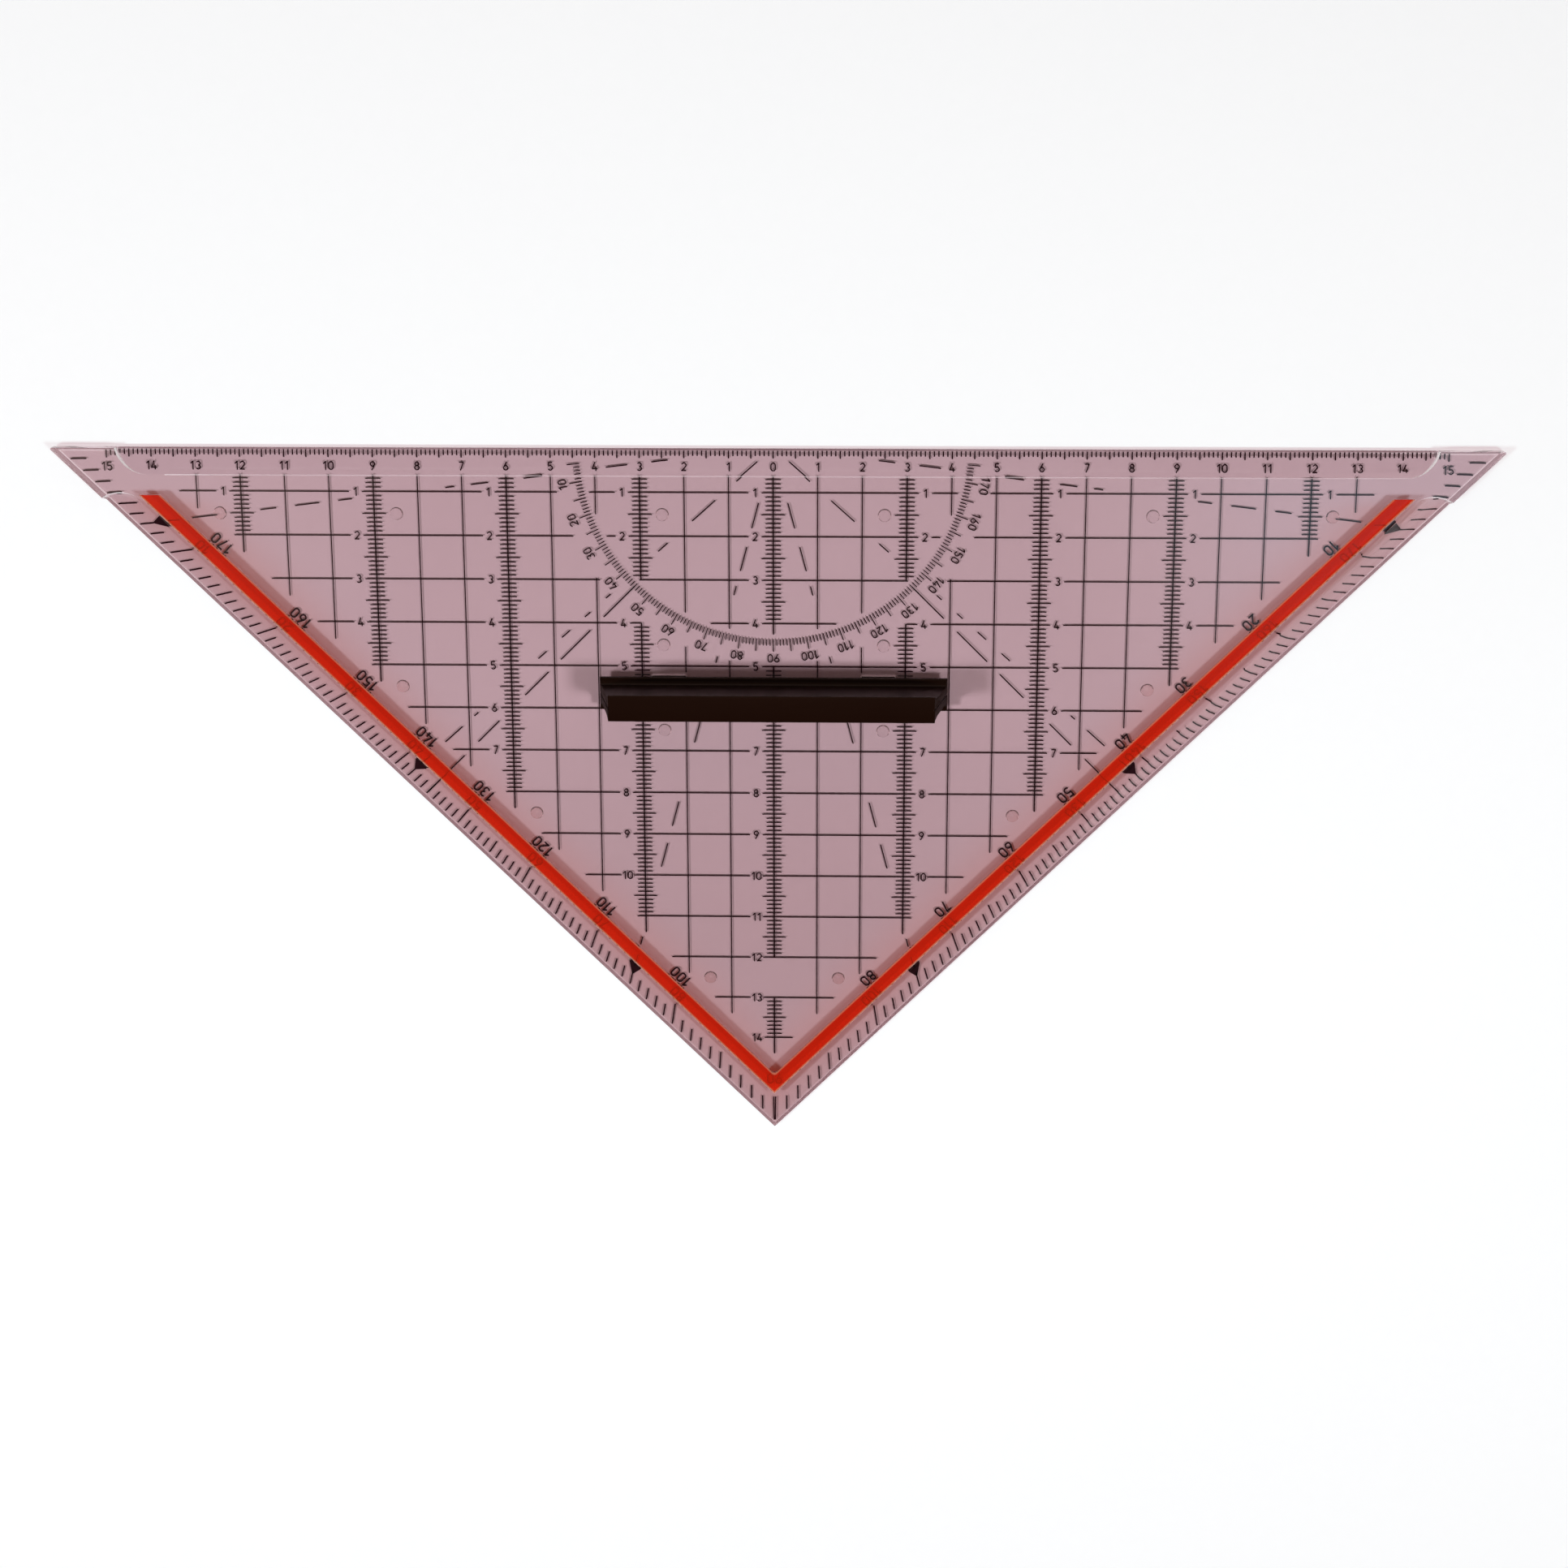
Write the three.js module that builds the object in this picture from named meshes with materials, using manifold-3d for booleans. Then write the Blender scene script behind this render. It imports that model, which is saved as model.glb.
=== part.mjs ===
// A large set square with a protractor: a clear acrylic plate with bevelled edges, a red V-shaped
// stripe let into its top, sixteen small studs that keep its printed underside off the paper, and
// a handle that clips into two slots.
// Millimetres. X runs along the long ruling edge, Y from the right-angled corner towards that edge,
// Z up. The origin lies on the table, under the middle of the plate's outline.

import * as THREE from "three";
import { mergeVertices } from "three/addons/utils/BufferGeometryUtils.js";
import Module from "manifold-3d";

const wasm = await Module();
wasm.setup();

// The plate: the ruling edge is counted between the sharp corners, before they are rounded
const rulingEdge = 325;
const plateThickness = 3;
const tipRadius = 0.3;

// The bevels along the three edges. Each stops short of the acute tips, where its flat width ends
// in a round wall that leans outwards: rulerRunOut and legRunOut are counted from the tip.
const bevelWidth = 6;
const edgeThickness = 1.2;
const runOutRadius = 7.3;
const runOutLean = 0.8;
const rulerRunOut = 22;
const legRunOut = 23.2;

// The stripe and its groove, with a flat land between them and the bevels
const stripeLand = 0.5;
const stripeWidth = 3.3;
const stripeDepth = 1.2;
const stripeGap = 0.1;
const stripeEndInset = 10.7;
const stripeBendRadius = 0.9;

// The studs, most of them in the middles of the printed grid's squares: column and row, each counted
// from the zero of the ruling edge. Two more on each side stand above and below the handle's slots.
const squaresAlongEdge = 32.5;
const studSquares = [
  [12.5, 1.5],
  [8.5, 1.5],
  [2.5, 1.5],
  [8.5, 5.5],
  [5.5, 8.5],
  [1.5, 12.5],
];
const slotStudColumn = 2.5;
const studAboveSlot = 6.7;
const studBelowSlot = 5.4;
const studRadius = 1.5;
const studHeight = 0.6;
const studFlatRadius = 0.3;

// The handle, from its foot up
const handleInset = 55.65;
const handleHeight = 15.5;
const footLength = 79.2;
const footWidth = 7.1;
const footHeight = 1.3;
const footFillet = 0.9;
const neckWidth = 4.1;
const headLength = 72.8;
const headWidth = 6;
const headHeight = 2.5;
const coveHeight = 3.5;
const handleEdgeRadius = 0.3;
const partingGrooveWidth = 0.3;
const partingGrooveDepth = 0.25;

// The plate's two slots, and the handle's two prongs in each
const slotSpacing = 47.7;
const slotWidth = 8.2;
const slotLength = 7.9;
const slotCornerRadius = 0.5;
const prongSideGap = 0.3;
const prongEndGap = 0.45;
const prongThickness = 1.5;
const prongTipGap = 0.3;
const prongChamfer = 0.4;
const beadHeight = 0.25;
const beadLength = 0.9;

// How finely curves are drawn, and how far every cutter passes the faces that it cuts
const curveSteps = 4;
const roundSides = 48;
const studSteps = 2;
const studSides = 16;
const cutOverrun = 1;

// Where the main faces and corners lie
const cornerToEdge = rulingEdge / 2;
const plateDepth = cornerToEdge - tipRadius * (Math.SQRT2 - 1);
const rulingY = plateDepth / 2;
const corner = new THREE.Vector2(0, rulingY - cornerToEdge);
const leftTip = new THREE.Vector2(-cornerToEdge, rulingY);
const rightTip = new THREE.Vector2(cornerToEdge, rulingY);
const legLength = rulingEdge / Math.SQRT2;
const undersideZ = studHeight;
const topZ = undersideZ + plateThickness;
const gridSquare = rulingEdge / squaresAlongEdge;

const acrylic = new THREE.MeshStandardMaterial({
  color: 0xd9b4b9,
  roughness: 0.08,
  metalness: 0,
  transparent: true,
  opacity: 0.45,
});
const redInlay = new THREE.MeshStandardMaterial({ color: 0xc51e0c, roughness: 0.3, metalness: 0 });
const darkMoulding = new THREE.MeshStandardMaterial({ color: 0x20150e, roughness: 0.4, metalness: 0 });

function toSolid(geometry) {
  const bare = geometry.clone();
  bare.deleteAttribute("normal");
  bare.deleteAttribute("uv");
  const merged = mergeVertices(bare);
  return new wasm.Manifold(
    new wasm.Mesh({
      numProp: 3,
      vertProperties: merged.attributes.position.array,
      triVerts: new Uint32Array(merged.index.array),
    }),
  );
}

function toMesh(name, solid, material) {
  const { vertProperties, numProp, triVerts } = solid.getMesh();
  const geometry = new THREE.BufferGeometry();
  geometry.setAttribute("position", new THREE.BufferAttribute(vertProperties, numProp));
  geometry.setIndex(new THREE.BufferAttribute(triVerts, 1));
  const faceted = geometry.toNonIndexed();
  faceted.computeVertexNormals();
  const mesh = new THREE.Mesh(faceted, material);
  mesh.name = name;
  return mesh;
}

// A flat shape raised from one height to another.
function raise(shape, low, high) {
  const geometry = new THREE.ExtrudeGeometry(shape, {
    depth: high - low,
    bevelEnabled: false,
    curveSegments: curveSteps,
  });
  return geometry.translate(0, 0, low);
}

// A section drawn across X, in Y and Z, and carried along X.
function carryAlongX(shape, from, to) {
  const turn = new THREE.Matrix4().makeBasis(
    new THREE.Vector3(0, 1, 0),
    new THREE.Vector3(0, 0, 1),
    new THREE.Vector3(1, 0, 0),
  );
  return raise(shape, from, to).applyMatrix4(turn);
}

function polygon(points) {
  return new THREE.Shape(points.map(([x, y]) => new THREE.Vector2(x, y)));
}

// A closed outline, each of whose corners has a place and a radius: [x, y, radius].
function roundedOutline(corners) {
  const shape = new THREE.Shape();
  corners.forEach(([x, y, radius], i) => {
    const here = new THREE.Vector2(x, y);
    const [backX, backY] = corners.at(i - 1);
    const [nextX, nextY] = corners[(i + 1) % corners.length];
    const back = new THREE.Vector2(backX, backY).sub(here).normalize();
    const next = new THREE.Vector2(nextX, nextY).sub(here).normalize();
    const halfAngle = Math.acos(back.dot(next)) / 2;
    const reach = radius / Math.tan(halfAngle);
    const start = here.clone().addScaledVector(back, reach);
    const end = here.clone().addScaledVector(next, reach);
    if (i === 0) shape.moveTo(start.x, start.y);
    else shape.lineTo(start.x, start.y);
    if (radius > 0) {
      const inwards = back.clone().add(next).normalize();
      const centre = here.clone().addScaledVector(inwards, radius / Math.sin(halfAngle));
      const startAngle = start.clone().sub(centre).angle();
      const endAngle = end.clone().sub(centre).angle();
      const clockwise = back.cross(next) > 0;
      shape.absarc(centre.x, centre.y, radius, startAngle, endAngle, clockwise);
    }
  });
  shape.closePath();
  return shape;
}

function roundedRectangle(centreX, centreY, width, length, radius) {
  const left = centreX - width / 2;
  const right = centreX + width / 2;
  const low = centreY - length / 2;
  const high = centreY + length / 2;
  return roundedOutline([
    [left, low, radius],
    [right, low, radius],
    [right, high, radius],
    [left, high, radius],
  ]);
}

// The sloping bevel's surface rises by bevelSlope for each millimetre into the plate.
const bevelRise = plateThickness - edgeThickness;
const bevelSlope = bevelRise / bevelWidth;

// The block above one edge's bevel, from start to end along that edge, with the round wall of a
// run-out at each place in runOuts. u runs along the edge, v into the plate, w up from its underside.
function bevelCutter(edgeStart, edgeEnd, start, end, runOuts) {
  const far = bevelWidth + cutOverrun;
  const high = plateThickness + cutOverrun;
  const wedge = polygon([
    [-cutOverrun, edgeThickness - bevelSlope * cutOverrun],
    [far, edgeThickness + bevelSlope * far],
    [-cutOverrun, edgeThickness + bevelSlope * far],
  ]);
  const stretch = polygon([
    [start, -cutOverrun],
    [end, -cutOverrun],
    [end, far],
    [start, far],
  ]);
  let reach = toSolid(raise(stretch, 0, high));
  const radiusAt = (w) => runOutRadius - (runOutLean * (plateThickness - w)) / bevelRise;
  for (const u of runOuts) {
    const cone = new THREE.CylinderGeometry(radiusAt(high), radiusAt(0), high, roundSides)
      .rotateX(Math.PI / 2)
      .translate(u, bevelWidth - runOutRadius, high / 2);
    reach = reach.add(toSolid(cone));
  }
  const wedgeSolid = toSolid(carryAlongX(wedge, start - runOutRadius, end + runOutRadius));

  const along = edgeEnd.clone().sub(edgeStart).normalize();
  const frame = new THREE.Matrix4()
    .makeBasis(
      new THREE.Vector3(along.x, along.y, 0),
      new THREE.Vector3(-along.y, along.x, 0),
      new THREE.Vector3(0, 0, 1),
    )
    .setPosition(edgeStart.x, edgeStart.y, undersideZ);
  return reach.intersect(wedgeSolid).transform(frame.elements);
}

// The stripe's outline, or with a gap the outline of the groove around it.
function stripeOutline(gap) {
  const outer = (bevelWidth + stripeLand - gap) * Math.SQRT2;
  const inner = (bevelWidth + stripeLand + stripeWidth + gap) * Math.SQRT2;
  const endY = rulingY - stripeEndInset + gap;
  const outerX = endY - corner.y - outer;
  const innerX = endY - corner.y - inner;
  const bend = stripeBendRadius - gap;
  return roundedOutline([
    [0, corner.y + outer, 0],
    [outerX, endY, 0],
    [innerX, endY, bend],
    [0, corner.y + inner, bend],
    [-innerX, endY, bend],
    [-outerX, endY, 0],
  ]);
}

function makePlate() {
  const outline = roundedOutline([
    [leftTip.x, leftTip.y, tipRadius],
    [corner.x, corner.y, tipRadius],
    [rightTip.x, rightTip.y, tipRadius],
  ]);
  const pastCorner = legLength + cutOverrun;
  const rulerEnd = rulingEdge - rulerRunOut;
  const legEnd = legLength - legRunOut;
  let plate = toSolid(raise(outline, undersideZ, topZ))
    .subtract(bevelCutter(leftTip, corner, legRunOut, pastCorner, [legRunOut]))
    .subtract(bevelCutter(corner, rightTip, -cutOverrun, legEnd, [legEnd]))
    .subtract(bevelCutter(rightTip, leftTip, rulerRunOut, rulerEnd, [rulerRunOut, rulerEnd]));
  const groove = raise(stripeOutline(stripeGap), topZ - stripeDepth, topZ + cutOverrun);
  plate = plate.subtract(toSolid(groove));
  for (const side of [-1, 1]) {
    const centreX = (side * slotSpacing) / 2;
    const slot = roundedRectangle(
      centreX,
      rulingY - handleInset,
      slotWidth,
      slotLength,
      slotCornerRadius,
    );
    plate = plate.subtract(toSolid(raise(slot, undersideZ - cutOverrun, topZ + cutOverrun)));
  }
  return toMesh("plate", plate, acrylic);
}

function makeStripe() {
  return toMesh("stripe", toSolid(raise(stripeOutline(0), topZ - stripeDepth, topZ)), redInlay);
}

// A low dome that hangs from the underside, cut flat where it stands.
function makeStud(name, x, y) {
  const spread = studRadius - studFlatRadius;
  const domeRadius = (spread ** 2 + studHeight ** 2) / (2 * studHeight);
  const profile = new THREE.Path();
  profile.moveTo(0, 0);
  profile.lineTo(studFlatRadius, 0);
  const domeEnd = Math.atan2(studHeight - domeRadius, spread);
  profile.absarc(studFlatRadius, domeRadius, domeRadius, -Math.PI / 2, domeEnd, false);
  profile.lineTo(0, studHeight);
  const dome = new THREE.LatheGeometry(profile.getPoints(studSteps), studSides).rotateX(Math.PI / 2);
  const stud = toMesh(name, toSolid(dome), acrylic);
  stud.position.set(x, y, 0);
  return stud;
}

// The handle's section: a flat foot, a waisted neck that flares under the head, and a flat head.
function handleSection() {
  const round = handleEdgeRadius;
  const footX = footWidth / 2;
  const neckX = neckWidth / 2;
  const headX = headWidth / 2;
  const headZ = handleHeight - headHeight;
  const flare = headX - neckX;
  const coveRadius = (flare ** 2 + coveHeight ** 2) / (2 * flare);
  const coveEnd = Math.PI - Math.asin(coveHeight / coveRadius);
  const half = new THREE.Path();
  half.moveTo(0, 0);
  half.lineTo(footX - round, 0);
  half.absarc(footX - round, round, round, -Math.PI / 2, 0, false);
  half.absarc(footX - round, footHeight - round, round, 0, Math.PI / 2, false);
  half.absarc(neckX + footFillet, footHeight + footFillet, footFillet, -Math.PI / 2, -Math.PI, true);
  half.absarc(neckX + coveRadius, headZ - coveHeight, coveRadius, Math.PI, coveEnd, true);
  half.lineTo(headX, headZ);
  half.absarc(headX - round, handleHeight - round, round, 0, Math.PI / 2, false);
  half.lineTo(0, handleHeight);
  const right = half.getPoints(curveSteps);
  const left = right.slice(1, -1).map((point) => new THREE.Vector2(-point.x, point.y));
  return new THREE.Shape([...right, ...left.reverse()]);
}

// One prong, with a chamfered tip and a bead that snaps past the slot's wall.
function prongSection() {
  const outer = slotLength / 2 - prongEndGap;
  const inner = outer - prongThickness;
  const tip = prongTipGap - plateThickness;
  const beadLow = tip + prongChamfer;
  return polygon([
    [inner, footHeight / 2],
    [inner, tip],
    [outer - prongChamfer, tip],
    [outer, beadLow],
    [outer + beadHeight, beadLow + beadLength / 2],
    [outer, beadLow + beadLength],
    [outer, footHeight / 2],
  ]);
}

function makeHandle() {
  const slant = (footLength - headLength) / 2 / handleHeight;
  const halfLengthAt = (z) => footLength / 2 - slant * z;
  const low = -cutOverrun;
  const high = handleHeight + cutOverrun;
  const standing = new THREE.Matrix4().makeRotationX(Math.PI / 2);
  const sideView = polygon([
    [-halfLengthAt(low), low],
    [halfLengthAt(low), low],
    [halfLengthAt(high), high],
    [-halfLengthAt(high), high],
  ]);
  const ends = raise(sideView, -footWidth, footWidth).applyMatrix4(standing);
  const bar = carryAlongX(handleSection(), -footLength, footLength);
  let handle = toSolid(bar).intersect(toSolid(ends));
  for (const side of [-1, 1]) {
    // The moulding's parting line shows as a fine groove up the middle of each end.
    const groove = polygon([
      [side * (halfLengthAt(low) - partingGrooveDepth), low],
      [side * (halfLengthAt(low) + cutOverrun), low],
      [side * (halfLengthAt(high) + cutOverrun), high],
      [side * (halfLengthAt(high) - partingGrooveDepth), high],
    ]);
    const halfGroove = partingGrooveWidth / 2;
    const cut = raise(groove, -halfGroove, halfGroove).applyMatrix4(standing);
    handle = handle.subtract(toSolid(cut));
    const centreX = (side * slotSpacing) / 2;
    const halfProng = slotWidth / 2 - prongSideGap;
    const prong = carryAlongX(prongSection(), centreX - halfProng, centreX + halfProng);
    const opposite = prong.clone().rotateZ(Math.PI).translate(2 * centreX, 0, 0);
    handle = handle.add(toSolid(prong)).add(toSolid(opposite));
  }
  const mesh = toMesh("handle", handle, darkMoulding);
  mesh.position.set(0, rulingY - handleInset, topZ);
  return mesh;
}

const setSquare = new THREE.Group();
setSquare.add(makePlate(), makeStripe(), makeHandle());

const slotRows = [
  handleInset - slotLength / 2 - studAboveSlot,
  handleInset + slotLength / 2 + studBelowSlot,
];
const studPlaces = [
  ...studSquares.map(([column, row]) => [column * gridSquare, row * gridSquare]),
  ...slotRows.map((depth) => [slotStudColumn * gridSquare, depth]),
];
let studNumber = 0;
for (const side of [-1, 1]) {
  for (const [x, depth] of studPlaces) {
    studNumber += 1;
    const name = `stud_${String(studNumber).padStart(2, "0")}`;
    setSquare.add(makeStud(name, side * x, rulingY - depth));
  }
}

export default setSquare;
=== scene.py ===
import math

import bmesh
import bpy
import numpy as np
from mathutils import Matrix, Vector


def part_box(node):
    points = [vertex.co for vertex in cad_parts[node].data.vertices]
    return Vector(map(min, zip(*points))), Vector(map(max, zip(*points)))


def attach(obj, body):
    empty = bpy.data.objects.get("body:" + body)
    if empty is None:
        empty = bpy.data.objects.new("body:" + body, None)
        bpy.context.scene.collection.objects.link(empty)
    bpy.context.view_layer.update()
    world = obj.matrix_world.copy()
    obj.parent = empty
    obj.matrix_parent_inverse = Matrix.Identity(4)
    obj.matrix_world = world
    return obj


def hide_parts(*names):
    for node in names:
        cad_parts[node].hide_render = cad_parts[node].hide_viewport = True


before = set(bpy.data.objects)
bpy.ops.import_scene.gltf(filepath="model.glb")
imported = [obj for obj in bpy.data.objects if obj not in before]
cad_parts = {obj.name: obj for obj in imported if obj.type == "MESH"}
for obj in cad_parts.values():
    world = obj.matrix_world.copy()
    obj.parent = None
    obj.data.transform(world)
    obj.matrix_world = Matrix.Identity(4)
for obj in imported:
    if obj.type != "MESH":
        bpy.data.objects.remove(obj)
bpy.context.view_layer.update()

# The plate: one sheet of rose-tinted clear acrylic with ground bevels, a groove for the stripe and two
# slots for the handle. Its shape is the frame's own plate, with the edges eased as polishing leaves
# them. Lamps shine through it, each face taking the root of what one pass through the sheet takes.
MM = 0.001
one_pass_tint = np.array([0.700, 0.562, 0.592])


class Shade:
    """One value or colour in a finish. Sums and products add Math nodes, and add() any other node."""

    def __init__(self, tree, socket=None):
        self.tree, self.socket = tree, socket

    def add(self, kind, settings=None, inputs=None, output=0):
        """Adds a node, makes its settings first, fills its inputs, and gives one of its outputs."""
        node = self.tree.nodes.new("ShaderNode" + kind)
        for name, value in (settings or {}).items():
            setattr(node, name, value)
        for name, value in (inputs or {}).items():
            if isinstance(value, Shade):
                self.tree.links.new(value.socket, node.inputs[name])
            else:
                node.inputs[name].default_value = value
        return Shade(self.tree, node.outputs[output] if node.outputs else None)

    def maths(self, operation, first, second):
        """A Math node on two values, each a number or another Shade."""
        return self.add("Math", {"operation": operation}, {0: first, 1: second})

    def blend(self, first, second):
        """The first colour where this value is 0, the second where it is 1."""
        return self.add("Mix", {"data_type": "RGBA"}, {0: self, 6: first, 7: second}, 2)

    def between(self, low, high):
        """0 up to low, 1 from high on, and an even rise from one to the other."""
        return self.add("MapRange", None, {"Value": self, "From Min": low, "From Max": high})

    def along(self, axis):
        """One coordinate of a place or a direction: X, Y or Z."""
        return self.add("SeparateXYZ", None, {0: self}, axis)

    def size(self):
        """The value without its sign."""
        return self.maths("ABSOLUTE", self, 0)

    def noise(self, scale, detail):
        """Smooth noise at a place: scale is its clouds to a metre, and detail how often it is halved."""
        return self.add("TexNoise", None, {"Vector": self, "Scale": scale, "Detail": detail})

    def __add__(self, other):
        return self.maths("ADD", self, other)

    def __sub__(self, other):
        return self.maths("SUBTRACT", self, other)

    def __rsub__(self, other):
        return self.maths("SUBTRACT", other, self)

    def __mul__(self, other):
        return self.maths("MULTIPLY", self, other)

    __radd__ = __add__
    __rmul__ = __mul__


def new_finish(name):
    """An empty material, and the start of its nodes."""
    material = bpy.data.materials.new(name)
    material.use_nodes = True
    material.node_tree.nodes.clear()
    return material, Shade(material.node_tree)


def opaque_colour(rgb):
    """The four numbers of a colour that has no transparency of its own."""
    return (*(float(part) for part in rgb), 1.0)


def let_through(start, body, tint):
    """Shows body to the eye, and a plain tint to rays from lamps and from paper, so that neither is
    counted twice. A ray that has been reflected twice inside the sheet leaves it there, tinted alike."""
    plain = start.add("BsdfTransparent", None, {"Color": opaque_colour(tint)})
    from_paper = start.add("LightPath", output="Is Diffuse Ray")
    from_lamp = start.add("LightPath", output="Is Shadow Ray")
    caught = start.add("LightPath", output="Glossy Depth").between(1.4, 1.6)
    seen_plain = start.maths("MAXIMUM", from_paper, caught)
    mostly = start.add("MixShader", None, {0: seen_plain, 1: body, 2: plain})
    shown = start.add("MixShader", None, {0: from_lamp, 1: mostly, 2: plain})
    start.add("OutputMaterial", None, {"Surface": shown})


def clear_acrylic(name, tint):
    """Acrylic that takes tint from light in one pass: tint squared lights up a sheet on white paper. Its
    colour has painted shade, a little deeper towards the square corner, and a painted red glow close to the
    red stripe, standing in for the stripe's red light in the sheet."""
    material, start = new_finish(name)
    place = start.add("TexCoord", output="Object")
    x, y = place.along("X").size(), place.along("Y")
    from_stripe = ((x - y) * diagonal - stripe_middle * MM).size()
    past_stripe = y.between((ruling_y - 13) * MM, (ruling_y - 8) * MM)
    # Painted red glow: the colour warms within 15 mm of the stripe's middle line, standing in for red light
    # from the stripe.
    painted_red_glow = (1 - from_stripe.between(1 * MM, 15 * MM)) * (1 - past_stripe)
    # Painted shade: the tint darkens towards the square corner, from Y = 25 mm down to -35 mm.
    painted_corner_shade = 1 - y.between(-35 * MM, 25 * MM)
    drift = place.noise(9.0, 1.0)
    ripple = place.noise(160.0, 2.0)
    stretch = start.add("Mapping", None, {"Vector": place, "Rotation": (0, 0, 0.35)})
    across = start.add("VectorMath", {"operation": "MULTIPLY"}, {0: stretch, 1: (40, 2600, 40)})
    scratch = across.noise(1.0, 0.0).between(0.70, 0.78)
    surface = start.add(
        "Bump",
        None,
        {"Height": ripple * 0.6 - scratch * 0.25, "Distance": 0.000004, "Strength": 0.6},
    )
    even = drift.blend(opaque_colour(tint * 0.985), opaque_colour(np.minimum(tint * 1.015, 1)))
    shaded = painted_corner_shade.blend(even, opaque_colour(tint * (0.9, 0.87, 0.86)))
    colour = (painted_red_glow * painted_red_glow).blend(shaded, opaque_colour(tint * (0.99, 0.76, 0.7)))
    body = start.add(
        "BsdfPrincipled",
        None,
        {
            "Base Color": colour,
            "Roughness": 0.01,
            "IOR": 1.49,
            "Transmission Weight": 1.0,
            "Normal": surface,
        },
    )
    let_through(start, body, np.sqrt(tint))
    return material


plate_low, plate_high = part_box("plate")
ruling_y = plate_high.y / MM
underside = plate_low.z / MM
top = plate_high.z / MM
sharp_corner_depth = 162.5
diagonal = math.sqrt(0.5)
side_reach = (sharp_corner_depth - ruling_y) / math.sqrt(2)
stripe_inset = 8.15
stripe_middle = side_reach - stripe_inset
bevel_width = 6
slots_reach = 30
slot_clearance = 5
chamfer = 0.65
matt_line = 0.3
eased_edge = 0.35
crease_share = 0.35
crease_angle = 10
flat_angle = 0.5
weld_gap = 1e-4
shortest_eased = 4
largest_rounded_area = 10
facing_down = -0.99
milled, eased, filed = 1, 2, 3

sheet_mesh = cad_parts["plate"].data.copy()
sheet_mesh.name = "sheet"
sheet_shape = bmesh.new()
sheet_shape.from_mesh(sheet_mesh)
bmesh.ops.remove_doubles(sheet_shape, verts=sheet_shape.verts, dist=weld_gap * MM)
bmesh.ops.dissolve_limit(
    sheet_shape,
    angle_limit=math.radians(flat_angle),
    verts=sheet_shape.verts,
    edges=sheet_shape.edges,
)
# Two lines are cut into the underside along each side: the chamfer's inner edge and the matt line's.
sides = (
    ((0, 1), ruling_y),
    ((-diagonal, -diagonal), side_reach),
    ((diagonal, -diagonal), side_reach),
)
for outward, reach in sides:
    for inwards in (chamfer, chamfer + matt_line):
        low_faces = [face for face in sheet_shape.faces if face.normal.z < facing_down]
        low_parts = {part for face in low_faces for part in (face, *face.edges, *face.verts)}
        bmesh.ops.bisect_plane(
            sheet_shape,
            geom=list(low_parts),
            plane_co=Vector((*outward, 0)) * (reach - inwards) * MM,
            plane_no=(*outward, 0),
        )
sheet_shape.to_mesh(sheet_mesh)


def past_sides(corners):
    """How far corners lie outside the lines of the two short sides: the size of X less Y, over the root of
    two, less those sides' distance from the middle."""
    return (np.abs(corners[..., 0]) - corners[..., 1]) / math.sqrt(2) - side_reach


def past_outline(corners):
    """The same for all three sides: the larger of that and Y less the ruling edge's."""
    return np.maximum(past_sides(corners), corners[..., 1] - ruling_y)


sheet_corners = np.empty(len(sheet_mesh.vertices) * 3)
sheet_mesh.vertices.foreach_get("co", sheet_corners)
sheet_corners = sheet_corners.reshape(-1, 3) / MM
is_low = sheet_corners[:, 2] < underside + weld_gap
sheet_corners[:, 2] += np.where(is_low, np.maximum(past_outline(sheet_corners) + chamfer, 0), 0)
sheet_mesh.vertices.foreach_set("co", (sheet_corners * MM).ravel())
sheet_shape.clear()
sheet_shape.from_mesh(sheet_mesh)
sheet_shape.normal_update()
# Each face gets its finish by how steep it is and where: the milled walls at the bevels' ends, the slot
# walls and matt lines, which look like the eased edges, and the filed chamfer. The rest is polished.
for face in sheet_shape.faces:
    face.smooth = face.calc_area() / MM**2 < largest_rounded_area
    middle = np.array(face.calc_center_median()) / MM
    from_sides = -past_outline(middle)
    in_matt_line = abs(from_sides - chamfer - matt_line / 2) < matt_line / 2
    slot_wall = abs(face.normal.z) < 0.1 and from_sides > slot_clearance and abs(middle[0]) < slots_reach
    if 0.3 < face.normal.z < 0.6:
        face.material_index = milled
    elif slot_wall or (face.normal.z < facing_down and in_matt_line):
        face.material_index = eased
    elif -0.9 < face.normal.z < -0.5:
        face.material_index = filed
easing_share = sheet_shape.edges.layers.float.new("bevel_weight_edge")
for edge in sheet_shape.edges:
    sharp = edge.is_convex and edge.calc_face_angle() > math.radians(crease_angle)
    ends = np.array([corner.co for corner in edge.verts]) / MM
    at_top = np.min(ends[:, 2]) > top - 0.01
    if sharp and edge.calc_length() / MM > shortest_eased and at_top:
        if np.max(np.abs(ends[:, 0])) < slots_reach:
            edge[easing_share] = 1.0
        elif np.max(np.abs(ends[:, 1] - ruling_y + bevel_width)) < 0.05:
            edge[easing_share] = crease_share
sheet_shape.to_mesh(sheet_mesh)
sheet_shape.free()
sheet_mesh.set_sharp_from_angle(angle=math.radians(crease_angle))
sheet_mesh.materials[0] = clear_acrylic("clear_acrylic", one_pass_tint)

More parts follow.
